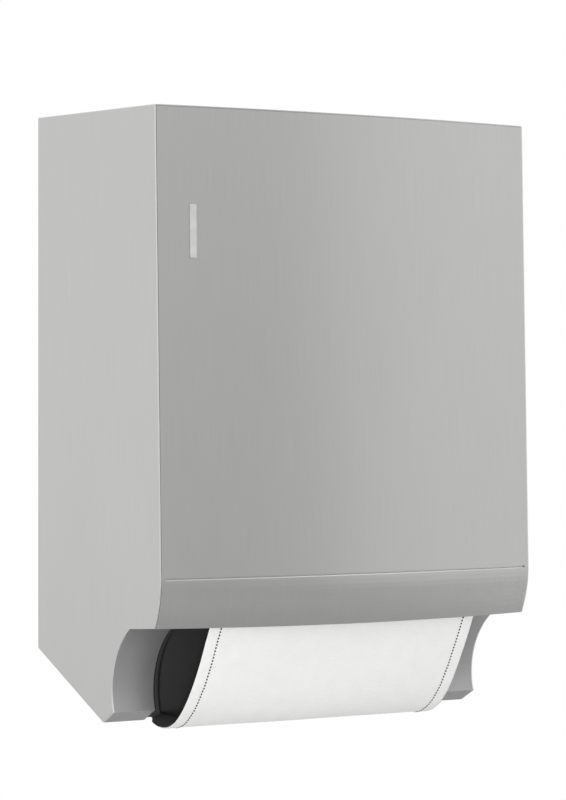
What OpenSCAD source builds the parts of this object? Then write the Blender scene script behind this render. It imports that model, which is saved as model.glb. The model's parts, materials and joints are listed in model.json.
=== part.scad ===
// Wall-mounted cloth towel dispenser: a steel hood that tilts forward over a two-roll towel drive.
// Millimetres. +Z is up, the front faces -Y, and Y = 0 is the wall.
// The origin is the centre of the four wall screws.

/* [Hood] */
// Width across the front edges of the two sides
cabinet_w = 404.5; // [396:0.5:420]
// Height of the top above the centre of the wall screws
top_h = 245; // [240:1:255]
// Drop of the back corner of the sides below that centre
back_drop = 215; // [212:1:219]
// Depth of the sides at the top edge
top_depth = 184.5; // [183:0.5:190]
// How much further the front stands out at the groove than at the top
front_lean = 8.5; // [7:0.5:11]
// Bulge of the front panel between the two sides
front_bow = 15; // [13:0.5:18]
// How far each side draws in between its front edge and the wall
side_inset = 7.5; // [6:0.5:10]
// Thickness of the hood sheet
sheet_t = 1.5; // [1.2:0.1:1.8]
// Gap between the hood and the wall
wall_gap = 1; // [0.6:0.1:1.5]
// Level of the groove across the front, below the centre
groove_drop = 148.5; // [144:0.5:154]
// Height of the groove
groove_h = 2.4; // [1.8:0.2:3]
// Depth of the groove
groove_depth = 1; // [0.6:0.1:1.2]
// Height of the groove's floor, above its sloping ledge
groove_flat = 0.9; // [0.5:0.1:1.5]
// Distance of the groove's ends from the sides
groove_margin = 5.5; // [4:0.5:9]
// Level of the lip's lower edge, below the centre
lip_drop = 189.5; // [188:0.5:192]
// How far the lip curls back from the groove to its edge
lip_tuck = 8.8; // [7:0.2:9.6]
// How much lower the lip's edge hangs in the middle than at its ends
lip_sag = 2; // [0.5:0.1:3]
// How far the lower edge of the sides falls between the lip and the recess
lip_fall = 1.9; // [0:0.1:3]

/* [Hand recess] */
// Radius of the round recess under the lip
recess_r = 66; // [64:0.5:67]
// How far the recess axis lies in front of the lip's edge
recess_y = 0.8; // [0:0.2:2.8]
// Drop of the recess axis below the centre
recess_drop = 245; // [244:0.5:246]
// Distance of the lowest corner of the sides behind the recess axis
nose_y = 79.5; // [78:0.5:82]
// Drop of the lowest corner of the sides below the centre
nose_drop = 272.5; // [271:0.5:275]
// Slope of the short edge between that corner and the recess
nose_slope = 30; // [26:1:34]
// Width of each cheek beside the towel
cheek_w = 46; // [44.5:0.5:46.5]
// Wall of the cheeks
cheek_wall = 3; // [2:0.2:4]

/* [Level window] */
// Width of the level window
window_w = 6.2; // [5:0.2:9]
// Height of the level window
window_h = 45; // [36:1:52]
// Distance of the window's middle outside the left side frame
window_x = 13.5; // [12:0.25:20]
// Level of the middle of the window above the centre
window_z = 140.5; // [130:0.5:150]
// How far the window stands out of the front
window_proud = 0.8; // [0.4:0.1:1.2]

/* [Towel] */
// Width of the towel
towel_w = 290; // [280:1:291]
// Thickness of the towel
towel_t = 1.2; // [0.9:0.1:1.5]
// Radius of the roll of clean towel
clean_r = 66; // [58:1:67]
// Radius of the roll of used towel
soiled_r = 34; // [24:1:44]
// Distance of the clean roll from the wall
clean_y = 96; // [92:1:98]

/* [Drive] */
// Distance of the feed drum behind the lip's edge
drum_y = 42.2; // [41.2:0.2:44.2]
// Drop of the feed drum below the centre
drum_drop = 100; // [98:1:104]
// Radius of the feed drum over its rubber sleeve
drum_r = 24; // [22.5:0.5:24.5]
// Radius of the pressure roller
press_r = 11; // [9.5:0.5:11.5]
// Tooth module of the gears
gear_module = 2; // [1.9:0.05:2.1]
// Teeth of the drum gear
drum_teeth = 30; // [29:1:31]
// Teeth of the idler gear
idler_teeth = 34; // [33:1:35]
// Teeth of the take-up gear
takeup_teeth = 12; // [12:1:13]
// Face width of the gears
gear_w = 8; // [6:0.5:10]
// Radius of the shaft journals
shaft_r = 5; // [4.5:0.1:5.5]
// Radius of the cross rods
rod_r = 4; // [3.5:0.1:4.2]
// Radius of the exit bar behind the lip
exit_bar_r = 5; // [4.5:0.1:5.4]

/* [Chassis] */
// Spacing of the wall screws across
screw_span_x = 240; // [200:5:256]
// Spacing of the wall screws up and down
screw_span_z = 320; // [280:5:340]
// Radius of the wall screw holes
screw_hole_r = 3.25; // [2.6:0.05:4]
// Thickness of the wall plate
plate_t = 2; // [1.5:0.1:2.5]
// Thickness of the side frames
frame_t = 4; // [3.4:0.2:4.2]
// Gap between the towel's edge and the side frames
frame_gap = 5.5; // [5.2:0.1:5.9]
// Wall of the plastic guides
guide_wall = 2.5; // [2:0.1:3]
// How much deeper the tray lies than the cheeks
tray_setback = 9; // [8:0.5:10]
// Radius of the tray's rolled lower edge
tray_nose_r = 6; // [5:0.5:6.5]
// Radius of the hood's hinge pins
hinge_r = 4; // [3:0.1:4.5]
// Distance of the hinge axis from the wall
hinge_y = 24; // [23.5:0.5:26]
// Height of the hinge axis above the back corner
hinge_rise = 5.5; // [5:0.1:5.7]

/* [Hidden] */
$fn = 96;

// Clearances: running fits, fixed fits, cloth to rollers, and pieces that pass each other
run_fit = 0.05;
snug_fit = 0.02;
cloth_gap = 0.3;
pass_gap = 0.5;
wide_gap = 2;

// Colours
steel = "#b9b8b4";
satin_grey = "#8f9092";
near_black = "#222326";
zinc = "#a4a8ab";
light_grey = "#d2d3d0";
rubber_black = "#2b2b2c";
cloth_white = "#f1f0ec";
gear_white = "#e4e2d6";
bright = "#c9cbcd";

// Front of the hood: each level is an arc about one upright axis behind the wall
bow_r = (pow(cabinet_w / 2, 2) + pow(front_bow, 2)) / (2 * front_bow);
bow_cy = bow_r - front_bow - top_depth;
lip_steps = 10;
lip_curl = 2;
lean_deg = atan(front_lean / (top_h + groove_drop));
lip_depth = top_depth + front_lean - lip_tuck;
beyond = 2 * top_depth;

function lip_share(z) = max(0, (-groove_drop - z) / (lip_drop - groove_drop));
function lean_share(z) = min(1, (top_h - z) / (top_h + groove_drop));
function front_rho(z) = bow_r + front_lean * lean_share(z) - lip_tuck * pow(lip_share(z), lip_curl);
function front_y(x, z) = bow_cy - sqrt(pow(front_rho(z), 2) - x * x);
function half_w(y) = cabinet_w / 2 - side_inset * (1 + y / top_depth);

lip_levels = [for (i = [0:lip_steps]) -groove_drop - (lip_drop - groove_drop) * i / lip_steps];
front_levels = concat([top_h], lip_levels);
sag_steps = 8;
bow_deg = 2 * asin(1.1 * cabinet_w / 2 / bow_r);
arc_facets = 720;

// Outline of the sides in [y, z]
recess_c = [-lip_depth - recess_y, -recess_drop];
nose = [recess_c[0] + nose_y, -nose_drop];
nose_run = 25;
nose_end = nose + nose_run * [-cos(nose_slope), sin(nose_slope)];
roof_back = recess_c[0] + sqrt(pow(recess_r, 2) - pow(recess_drop - lip_drop, 2));
roof_slope = lip_fall / (roof_back + lip_depth);
function roof_z(y) = -lip_drop - roof_slope * (y + lip_depth);
// The outlines turn down just inside the recess, which then cuts them
turn_in = 0.5;
under_lip = [roof_back - turn_in, roof_z(roof_back - turn_in)];
side_outline = concat(
    [[-wall_gap, top_h]],
    [for (z = front_levels) [front_y(cabinet_w / 2, z), z]],
    [under_lip, nose_end, nose, [-wall_gap, -back_drop]]
);

// Cheeks
cheek_x = cabinet_w / 2 - cheek_w;
cheek_rise = 8;
cheek_front = -lip_depth + sheet_t + 4;
cheek_back = 10;
cheek_outline = [
    [cheek_front, -lip_drop + cheek_rise],
    [cheek_front, -lip_drop],
    under_lip,
    nose_end,
    nose,
    nose + [cheek_back, cheek_back - 2],
    [nose[0] - 12, -lip_drop + cheek_rise]
];

// Hinge
hinge = [-hinge_y, -back_drop + hinge_rise];
hinge_boss_r = 11;
hinge_boss_len = 8;
boss_x = half_w(hinge[0]) - sheet_t - hinge_boss_len;
ear_t = 4;
ear_x = boss_x - pass_gap - ear_t;
ear_r = 8;
bracket_gap = 4.4;
pin_head_r = 7;
pin_head_t = 2.5;

// Lock in the top, beside the wall
lock_y = 30;
lock_r = 9;
lock_flange_r = 11;
lock_flange_t = 1;
lock_len = 23;
lock_nut_r = 13;
lock_nut_t = 5;
plug_r = 6.5;
cam_t = 2.5;
cam_w = 10;
cam_len = 20;
cam_z = top_h - lock_len - cam_t - 4;
keeper_x = 12;
keeper_w = 10;
keeper_t = 2;
keeper_drop = 7;
keeper_foot = 14;
keeper_gap = 1.5;

// Level window
window_flange = 2.4;
window_flange_t = 1.5;
window_fit = 0.1;

// Chassis plan
plate_half = ear_x + ear_t;
plate_top = top_h - 11;
plate_foot = -back_drop + 4;
flange_d = 10;
bumper_r = 4;
bumper_in = 46;
frame_x = towel_w / 2 + frame_gap;
frame_out = frame_x + frame_t;
window_mid = frame_out + window_x;
foot_w = 16;
foot_t = 3;
tray_half = cheek_x - wide_gap;

// Gear train: drum gear, idler and take-up gear, all in the right-hand gear space
pressure_deg = 25;
tooth_play = 0.2;
gear_x = frame_out + 1.5;
drum = [-lip_depth + drum_y, -drum_drop];
idler_deg = 44;
takeup_deg = 64.3;
drum_pitch_r = gear_module * drum_teeth / 2;
idler_pitch_r = gear_module * idler_teeth / 2;
takeup_pitch_r = gear_module * takeup_teeth / 2;
idler = drum + (drum_pitch_r + idler_pitch_r) * [cos(idler_deg), sin(idler_deg)];
takeup = idler + (idler_pitch_r + takeup_pitch_r) * [cos(takeup_deg), sin(takeup_deg)];
// Turn of each gear that puts a gap opposite the tooth it meets
idler_turn = 180 + idler_deg + (idler_deg * drum_teeth + 180) / idler_teeth;
takeup_turn = 180 + takeup_deg + ((takeup_deg - idler_turn) * idler_teeth + 180) / takeup_teeth;

// Rolls
chamber_gap = 4;
partition_t = 2;
core_r = 20;
core_wall = 3.4;
gudgeon_r = 6;
spindle_r = 7;
clean_z = takeup[1] + 2 * clean_r + 2 * chamber_gap + partition_t;
clean = [-clean_y, clean_z];
partition_r = clean_r + chamber_gap;
partition_from = 215;
partition_to = 332;

// Pressure roller in front of the drum, on arms that hang from a cross rod
press = drum - [drum_r + towel_t + 2 * cloth_gap + press_r, 0];
arm_t = 2.6;
arm_x = frame_x - arm_t - 0.9;
arm_r = 7.5;
arm_len = 42;
wire_r = 0.8;
coil_r = 6;
coil_turns = 5;
coil_pitch = 2.6;
coil_rings = 8;
wire_sides = 6;
pivot = press + [-rod_r - wire_r - 0.1 + coil_r, arm_len];
bush_wall = 3;
bush_flange = 3;
bush_flange_t = 2;

// Exit bar and tray
exit_bar = [-lip_depth + 3.5, -lip_drop + 5.5];
tray_r = recess_r + tray_setback;
tray_low_deg = -18;
tray_top = -lip_drop - 0.1;
tray_nose = recess_c + (tray_r + tray_nose_r) * [cos(tray_low_deg), sin(tray_low_deg)];
rim_w = 12;
rim_flat = 1.5;
rim_back = 0.8;
rim_sink = 0.1;
rim_steps = 8;
edge_short = 4.5;
edge_round = 14;
edge_tip_r = 3.6;

// Lower panel, parallel to the sloping lower edge of the sides
panel_t = 2;
panel_slope = (nose_drop - back_drop) / (-nose[0] - wall_gap);
panel_rear = [-plate_t, plate_foot + 5];
panel_front_y = tray_nose[0] + tray_nose_r + 10;
panel_front = [panel_front_y, panel_rear[1] + (panel_front_y - panel_rear[0]) * panel_slope];

// Level arm on the left frame, resting on the clean roll
level_pivot = clean + [clean_y - 34, clean_r - 16];
finger_r = 3;
finger = clean + [0, clean_r + cloth_gap + finger_r];
level_x = frame_out + pass_gap + 1;
level_t = 4;
flag_t = 2.5;
flag_back = 12;
flag_over = 4;
pad_h = 20;
pad_d = 6;
level_hub_r = 8;
finger_hub_r = 5;
finger_reach = 45;
flag_y = front_y(window_mid, window_z) + sheet_t + window_flange_t + flag_back;
frame_top = finger[1] - finger_r - 4;

// Frame screws
screw_r = 2;
screw_head_r = 4;
screw_head_t = 2.4;
screw_count = 4;
screw_margin = 20;
foot_from = plate_foot + 3 * ear_r + pass_gap;
screw_step = (frame_top - foot_from - 2 * screw_margin) / (screw_count - 1);
screw_levels = [for (i = [0:screw_count - 1]) foot_from + screw_margin + i * screw_step];

// Outline of the side frames in [y, z]: from the wall to the drum, the exit bar and the tray
frame_front = pivot[0] - arm_r - 3;
frame_foot = -lip_drop + 0.5;
bush_r = shaft_r + bush_wall;
frame_outline = [
    [-plate_t, frame_top],
    [clean[0] - 20, frame_top],
    [clean[0] - 54, clean_z + 22],
    [clean[0] - 60, clean_z - 70],
    [frame_front, pivot[1] + 22],
    [frame_front, press[1] - 20],
    [exit_bar[0] - exit_bar_r + 0.5, exit_bar[1] + 10],
    [exit_bar[0] - exit_bar_r + 0.5, frame_foot],
    [recess_c[0] + tray_r - 20, frame_foot],
    tray_nose + [0, 10],
    [panel_front[0] - 3, tray_nose[1] + 10],
    panel_front,
    panel_rear
];

// Slots that the roll's gudgeons slide into from the front, with a dip at the seat
slot_half = gudgeon_r + 0.3;
slot_rise = 5;
seat_wall = 6;
seat_proud = 2;

// Round openings that lighten the frames
frame_window_r = 16;
frame_windows = [
    [-plate_t - 34, clean_z + 20],
    [-plate_t - 34, clean_z - 28],
    [-plate_t - 34, -100],
    [-plate_t - 34, -150]
];

// Drum sleeve, one-way clutch, and the friction clutch on the take-up spindle
sleeve_t = 2.5;
clutch_r = 14;
clutch_len = 13;
felt_t = 1.2;
collar_t = 4;
collar_x = gear_x + gear_w + 0.3;

// Pressure roller inside its rubber sleeve
press_half = arm_x - 3.4;
press_core_r = press_r - 3;

// Towel path: a belt that passes each roller on its left (1) or on its right (-1), in [y, z]
mid = cloth_gap + towel_t / 2;
loop_from_deg = -64.5;
loop_to_deg = 24;
loop_from_pull = 46;
loop_to_pull = 41.6;
loop_steps = 24;
wrap_step = 12;

function heading(u) = atan2(u[1], u[0]);
function right_of(deg) = [sin(deg), -cos(deg)];
function run_deg(a, ra, b, rb) = heading(b - a) + asin((ra - rb) / norm(b - a));
function wrap_count(from, to) = max(1, ceil(abs(to - from) / wrap_step));
function wrap(c, r, from, to) =
    let (n = wrap_count(from, to))
    [for (i = [0:n]) c + r * right_of(from + (to - from) * i / n)];
function bezier(a, b, c, d, n) =
    [for (i = [0:n])
        let (t = i / n, s = 1 - t)
        s * s * s * a + 3 * s * s * t * b + 3 * s * t * t * c + t * t * t * d];

clean_mid = clean_r + mid;
press_mid = -(press_r + mid);
exit_mid = exit_bar_r + mid;
nose_mid = tray_nose_r + mid;
soiled_mid = soiled_r + mid;
feed_deg = run_deg(clean, clean_mid, press, press_mid);
out_deg = run_deg(press, press_mid, exit_bar, exit_mid);
back_deg = run_deg(tray_nose, nose_mid, takeup, soiled_mid);
feed_path = concat(
    [clean + clean_mid * right_of(feed_deg)],
    wrap(press, press_mid, feed_deg, out_deg),
    wrap(exit_bar, exit_mid, out_deg, loop_from_deg)
);
loop_start = exit_bar + exit_mid * right_of(loop_from_deg);
loop_end = tray_nose + nose_mid * right_of(loop_to_deg);
loop_path = bezier(
    loop_start,
    loop_start + loop_from_pull * [cos(loop_from_deg), sin(loop_from_deg)],
    loop_end - loop_to_pull * [cos(loop_to_deg), sin(loop_to_deg)],
    loop_end,
    loop_steps
);
return_path = concat(
    wrap(tray_nose, nose_mid, loop_to_deg, back_deg),
    [takeup + soiled_mid * right_of(back_deg)]
);

// Unit normal on the right of a path at point i, given the headings of its two ends
function path_normal(p, i, from, to) =
    i == 0 ? right_of(from) : i == len(p) - 1 ? right_of(to) : right_of(heading(p[i + 1] - p[i - 1]));
function ribbon(p, from, to) = concat(
    [for (i = [0:len(p) - 1]) p[i] + towel_t / 2 * path_normal(p, i, from, to)],
    [for (i = [len(p) - 1:-1:0]) p[i] - towel_t / 2 * path_normal(p, i, from, to)]
);

// Gear tooth outline: involute flanks between root and tip
function roll_deg(r, base_r) = r <= base_r ? 0 : acos(base_r / r);
function involute_deg(deg) = tan(deg) * 180 / PI - deg;
function flank_deg(r, teeth) =
    let (pitch_r = gear_module * teeth / 2, base_r = pitch_r * cos(pressure_deg))
    90 / teeth - tooth_play / 2 / pitch_r * 180 / PI
        + involute_deg(pressure_deg) - involute_deg(roll_deg(r, base_r));
function polar(r, deg) = r * [cos(deg), sin(deg)];
function tooth(k, teeth) =
    let (
        pitch_r = gear_module * teeth / 2,
        root_r = pitch_r - 1.25 * gear_module,
        low_r = max(root_r, pitch_r * cos(pressure_deg)),
        tip_r = pitch_r + gear_module,
        at = 360 * k / teeth,
        radii = [low_r, (low_r + pitch_r) / 2, pitch_r, (pitch_r + tip_r) / 2, tip_r],
        n = len(radii) - 1
    )
    concat(
        [polar(root_r, at - flank_deg(low_r, teeth))],
        [for (i = [0:n]) polar(radii[i], at - flank_deg(radii[i], teeth))],
        [for (i = [n:-1:0]) polar(radii[i], at + flank_deg(radii[i], teeth))],
        [polar(root_r, at + flank_deg(low_r, teeth))]
    );
function gear_outline(teeth) = [for (k = [0:teeth - 1]) each tooth(k, teeth)];

// Torsion spring wire: a helix round the cross rod and one straight leg down to the roller shaft
coil_ring_count = coil_turns * coil_rings;
leg_len = arm_len + rod_r;
function coil_point(i) =
    let (deg = 180 + 360 * i / coil_rings)
    [arm_x - 1.4 - coil_pitch * i / coil_rings, pivot[0] + coil_r * cos(deg), pivot[1] + coil_r * sin(deg)];
leg_foot = coil_point(0) - [0, 0, leg_len];
spring_path = concat([leg_foot], [for (i = [0:coil_ring_count]) coil_point(i)]);
function spring_dir(i) =
    let (n = len(spring_path) - 1)
    spring_path[min(i + 1, n)] - spring_path[max(i - 1, 0)];
function unit(v) = v / norm(v);
function spring_ring(i) =
    let (
        along = i < 2 ? [0, 0, 1] : unit(spring_dir(i)),
        side = unit(cross(along, [1, 0, 0])),
        up = cross(side, along)
    )
    [for (k = [0:wire_sides - 1])
        let (deg = 360 * k / wire_sides)
        spring_path[i] + wire_r * (cos(deg) * side + sin(deg) * up)];
spring_points = [for (i = [0:len(spring_path) - 1]) each spring_ring(i)];
function quad(a, b, c, d) = [[a, b, c], [a, c, d]];
spring_faces = concat(
    [for (k = [1:wire_sides - 2]) [0, k, k + 1]],
    [for (i = [0:len(spring_path) - 2]) for (k = [0:wire_sides - 1])
        let (a = i * wire_sides + k, b = i * wire_sides + (k + 1) % wire_sides)
        each quad(a, a + wire_sides, b + wire_sides, b)],
    [for (k = [1:wire_sides - 2])
        let (e = (len(spring_path) - 1) * wire_sides)
        [e, e + k + 1, e + k]]
);
spring_gap = min([for (i = [0:coil_ring_count - coil_rings]) for (j = [i + coil_rings - 2:coil_ring_count])
    norm(coil_point(i) - coil_point(j))]) - 2 * wire_r;
echo(spring_gap = spring_gap);

// Extrudes a [y, z] outline from x0 to x1
module along_x(x0, x1) {
    translate([x0, 0, 0]) rotate([90, 0, 90]) linear_extrude(x1 - x0) children();
}

// A round bar along X at a [y, z] place
module rod(place, r, x0, x1) {
    translate([x0, place[0], place[1]]) rotate([0, 90, 0]) cylinder(r = r, h = x1 - x0);
}

// The inside of the hood in plan, drawn in from its outer faces
module hood_plan(inset) {
    far = -beyond;
    translate([0, 0, -beyond]) linear_extrude(2 * beyond)
        polygon([
            [-half_w(0) + inset, 0],
            [half_w(0) - inset, 0],
            [half_w(far) - inset, far],
            [-half_w(far) + inset, far]
        ]);
}

// The round recess under the lip; its roof falls towards the back in the hood and is level in the chassis
module hood_recess(r) {
    along_x(-cabinet_w, cabinet_w) intersection() {
        translate(recess_c) circle(r = r);
        polygon([[-beyond, roof_z(-beyond)], [0, roof_z(0)], [0, -beyond], [-beyond, -beyond]]);
    }
}
module recess(r) {
    intersection() {
        rod(recess_c, r, -cabinet_w, cabinet_w);
        translate([-cabinet_w, -beyond, -beyond - lip_drop]) cube([2 * cabinet_w, beyond, beyond]);
    }
}

// Sweeps a [radius, z] profile along the bow of the front
module along_bow() {
    translate([0, bow_cy, 0]) rotate([0, 0, 270 - bow_deg / 2])
        rotate_extrude(angle = bow_deg, $fn = arc_facets) children();
}

// A band of the front between two depths below its outer skin and two levels
module front_band(skin, depth, levels) {
    along_bow() polygon(concat(
        [for (z = levels) [front_rho(z) - skin, z]],
        [for (i = [len(levels) - 1:-1:0]) [front_rho(levels[i]) - depth, levels[i]]]
    ));
}

// What the groove takes out of the front: a level upper wall, a floor, and a sloping ledge
module groove_cut() {
    top = -groove_drop + groove_h / 2;
    mid = top - groove_flat;
    foot = -groove_drop - groove_h / 2;
    along_bow() polygon([
        [front_rho(top) + sheet_t, top],
        [front_rho(top) - groove_depth, top],
        [front_rho(mid) - groove_depth, mid],
        [front_rho(foot), foot],
        [front_rho(foot) + sheet_t, foot]
    ]);
}

// Places children on the front panel at the level window, with -Y pointing out of the panel
module at_window() {
    translate([-window_mid, front_y(window_mid, window_z), window_z])
        rotate([0, 0, -asin(window_mid / front_rho(window_z))])
            rotate([-lean_deg, 0, 0]) children();
}

// A plate for the window: width, height, and its span along the panel's normal
module window_block(w, h, y0, y1) {
    translate([-w / 2, y0, -h / 2]) cube([w, y1 - y0, h]);
}

module hood_front() {
    bead_levels = [-groove_drop + groove_h, -groove_drop - groove_h];
    shell_levels = concat([top_h - sheet_t], lip_levels, [-lip_drop - lip_sag]);
    bead_half = cabinet_w / 2 - groove_margin;
    color(steel) intersection() {
        difference() {
            union() {
                front_band(0, sheet_t, shell_levels);
                intersection() {
                    front_band(sheet_t, sheet_t + groove_depth, bead_levels);
                    translate([-bead_half, -beyond, -beyond]) cube([2 * bead_half, beyond, 2 * beyond]);
                }
            }
            intersection() {
                groove_cut();
                translate([-bead_half, -beyond, -beyond]) cube([2 * bead_half, beyond, 2 * beyond]);
            }
            at_window() window_block(
                window_w + 2 * window_fit, window_h + 2 * window_fit, -2 * sheet_t, 3 * sheet_t);
        }
        hood_plan(sheet_t);
        rotate([90, 0, 0]) linear_extrude(beyond) polygon(concat(
            [[cabinet_w, top_h], [-cabinet_w, top_h]],
            [for (i = [-sag_steps:sag_steps])
                let (share = i / sag_steps)
                [share * cabinet_w / 2, -lip_drop - lip_sag * (1 - share * share)]]
        ));
    }
}

module hood_top() {
    color(steel) difference() {
        intersection() {
            translate([0, bow_cy, top_h - sheet_t]) cylinder(r = bow_r, h = sheet_t, $fn = arc_facets);
            hood_plan(sheet_t);
            translate([-cabinet_w, -beyond - wall_gap, 0]) cube([2 * cabinet_w, beyond, beyond]);
        }
        translate([0, -lock_y, top_h - 2 * sheet_t]) cylinder(r = lock_r + snug_fit, h = 3 * sheet_t);
    }
}

module hood_side() {
    color(steel) difference() {
        intersection() {
            along_x(0, cabinet_w) polygon(side_outline);
            difference() {
                hood_plan(0);
                hood_plan(sheet_t);
            }
        }
        hood_recess(recess_r);
    }
}
module hood_side_right() { hood_side(); }
module hood_side_left() { mirror([1, 0, 0]) hood_side(); }

module cheek() {
    color(satin_grey) intersection() {
        difference() {
            along_x(cheek_x, cabinet_w) polygon(cheek_outline);
            hood_recess(recess_r);
            difference() {
                along_x(cheek_x + cheek_wall, cabinet_w)
                    translate([cheek_wall, cheek_wall]) polygon(cheek_outline);
                hood_recess(recess_r + cheek_wall);
                rod(nose, cheek_wall, 0, cabinet_w);
            }
        }
        hood_plan(sheet_t);
    }
}
module cheek_right() { cheek(); }
module cheek_left() { mirror([1, 0, 0]) cheek(); }

module hinge_boss() {
    color(steel) difference() {
        intersection() {
            rod(hinge, hinge_boss_r, boss_x, cabinet_w);
            hood_plan(sheet_t);
        }
        rod(hinge, hinge_r + run_fit, boss_x - 1, boss_x + hinge_boss_len - 1);
    }
}
module hinge_boss_right() { hinge_boss(); }
module hinge_boss_left() { mirror([1, 0, 0]) hinge_boss(); }

module level_window() {
    rim = window_w + 2 * window_flange;
    tall = window_h + 2 * window_flange;
    color(cloth_white) at_window() union() {
        window_block(window_w, window_h, -window_proud, sheet_t + window_fit);
        window_block(rim, tall, sheet_t + window_fit, sheet_t + window_fit + window_flange_t);
    }
}

// Stands children on the lock axis at the level of the hood's top
module at_lock() {
    translate([0, -lock_y, top_h]) children();
}

module lock_body() {
    color(bright) at_lock() difference() {
        union() {
            translate([0, 0, -lock_len]) cylinder(r = lock_r, h = lock_len);
            cylinder(r = lock_flange_r, h = lock_flange_t);
        }
        translate([0, 0, -lock_len - 1]) cylinder(r = plug_r + run_fit, h = lock_len + lock_flange_t + 2);
    }
}

module lock_nut() {
    color(bright) at_lock() translate([0, 0, -sheet_t - lock_nut_t]) difference() {
        cylinder(r = lock_nut_r, h = lock_nut_t, $fn = 6);
        translate([0, 0, -1]) cylinder(r = lock_r + snug_fit, h = lock_nut_t + 2);
    }
}

module lock_plug() {
    plug_foot = cam_z + cam_t - top_h;
    slot_w = 1.6;
    slot_deep = 6;
    color(bright) at_lock() difference() {
        translate([0, 0, plug_foot]) cylinder(r = plug_r, h = lock_flange_t - plug_foot);
        translate([-slot_w / 2, -plug_r + 2, lock_flange_t - slot_deep])
            cube([slot_w, 2 * plug_r - 4, slot_deep + 1]);
    }
}

module lock_cam() {
    color(zinc) translate([0, -lock_y, cam_z]) union() {
        cylinder(r = plug_r, h = cam_t);
        translate([-cam_w / 2, 0, 0]) cube([cam_w, cam_len, cam_t]);
    }
}

module cam_screw() {
    head_r = 4;
    head_t = 2.5;
    color(zinc) translate([0, -lock_y, cam_z - head_t]) cylinder(r = head_r, h = head_t);
}

// A rib pressed into the wall plate, with sloping flanks
module plate_rib(x) {
    rib_w = 16;
    rib_d = 3;
    rib_margin = 40;
    translate([x, -plate_t, plate_foot + rib_margin]) linear_extrude(plate_top - plate_foot - 2 * rib_margin)
        polygon([[-rib_w / 2, 0], [rib_w / 2, 0], [rib_w / 2 - rib_d, -rib_d], [-rib_w / 2 + rib_d, -rib_d]]);
}

// Places children at each frame screw: both frames, every level
module at_screws() {
    for (side = [-1, 1]) for (z = screw_levels)
        translate([side * (frame_x - foot_w / 2), -plate_t, z]) rotate([90, 0, 0]) children();
}

module wall_plate() {
    tall = plate_top - plate_foot;
    color(zinc) difference() {
        union() {
            translate([-plate_half, -plate_t, plate_foot]) cube([2 * plate_half, plate_t, tall]);
            translate([-plate_half, -plate_t - flange_d, plate_top - plate_t])
                cube([2 * plate_half, flange_d + plate_t, plate_t]);
            for (side = [0, 1]) mirror([side, 0, 0])
                translate([plate_half - plate_t, -plate_t - flange_d, hinge[1] + 4 * ear_r])
                    cube([plate_t, flange_d + plate_t, plate_top - hinge[1] - 4 * ear_r]);
            for (side = [-1, 1]) plate_rib(side * screw_span_x / 4);
        }
        for (x = [-1, 1]) for (z = [-1, 1])
            translate([x * screw_span_x / 2, 1, z * screw_span_z / 2])
                rotate([90, 0, 0]) cylinder(r = screw_hole_r, h = plate_t + 2);
        at_screws() translate([0, 0, -plate_t - 1]) cylinder(r = screw_r + snug_fit, h = plate_t + 2);
    }
}

module side_frame() {
    slot_len = 2 * clean_r;
    color(light_grey) difference() {
        union() {
            along_x(frame_x, frame_out) polygon(frame_outline);
            translate([frame_x - foot_w, -plate_t - foot_t, foot_from])
                cube([foot_w + 1, foot_t, frame_top - foot_from]);
            rod(clean, gudgeon_r + seat_wall, frame_out - 1, frame_out + seat_proud);
            rod(takeup, bush_r + seat_wall, frame_out - 1, frame_out + seat_proud / 2);
        }
        recess(tray_r + guide_wall + run_fit);
        rod(tray_nose, tray_nose_r + pass_gap, 0, cabinet_w);
        rod(drum, bush_r + snug_fit, 0, cabinet_w);
        rod(takeup, bush_r + snug_fit, 0, cabinet_w);
        rod(pivot, rod_r + snug_fit, 0, cabinet_w);
        rod(exit_bar, exit_bar_r - 2 + snug_fit, 0, cabinet_w);
        rod(clean, gudgeon_r + run_fit, 0, cabinet_w);
        translate([0, clean[0] - slot_half, clean_z]) cube([cabinet_w, 2 * slot_half, slot_rise]);
        translate([0, clean[0] - slot_len, clean_z - slot_half + slot_rise])
            cube([cabinet_w, slot_len + slot_half, 2 * slot_half]);
        at_screws() cylinder(r = screw_r + snug_fit, h = 2 * foot_t);
        for (place = frame_windows) rod(place, frame_window_r, 0, cabinet_w);
    }
}
module side_frame_right() {
    color(light_grey) difference() {
        side_frame();
        rod(idler, rod_r + snug_fit, 0, cabinet_w);
    }
}
module side_frame_left() {
    color(light_grey) difference() {
        mirror([1, 0, 0]) side_frame();
        rod(level_pivot, rod_r + snug_fit, -cabinet_w, 0);
    }
}

// A sheet bent about the clean roll, from one angle to another
module roll_partition() {
    reach = 2 * partition_r;
    color(light_grey) along_x(-frame_x, frame_x) translate(clean) intersection() {
        difference() {
            circle(r = partition_r + partition_t);
            circle(r = partition_r);
        }
        polygon([
            [0, 0],
            polar(reach, partition_from),
            polar(reach, (partition_from + partition_to) / 2),
            polar(reach, partition_to)
        ]);
    }
}

module lower_panel() {
    color(light_grey) along_x(-frame_x, frame_x) union() {
        polygon([panel_rear, panel_front, panel_front - [0, panel_t], panel_rear - [0, panel_t]]);
        translate(panel_front - [0, panel_t / 2]) circle(r = 1.4 * panel_t);
    }
}

// The span about the recess axis that the tray covers
module tray_sector() {
    reach = 2 * tray_r;
    polygon([
        recess_c,
        recess_c + polar(reach, tray_low_deg),
        [recess_c[0] + reach, tray_top],
        [recess_c[0], tray_top]
    ]);
}

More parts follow.
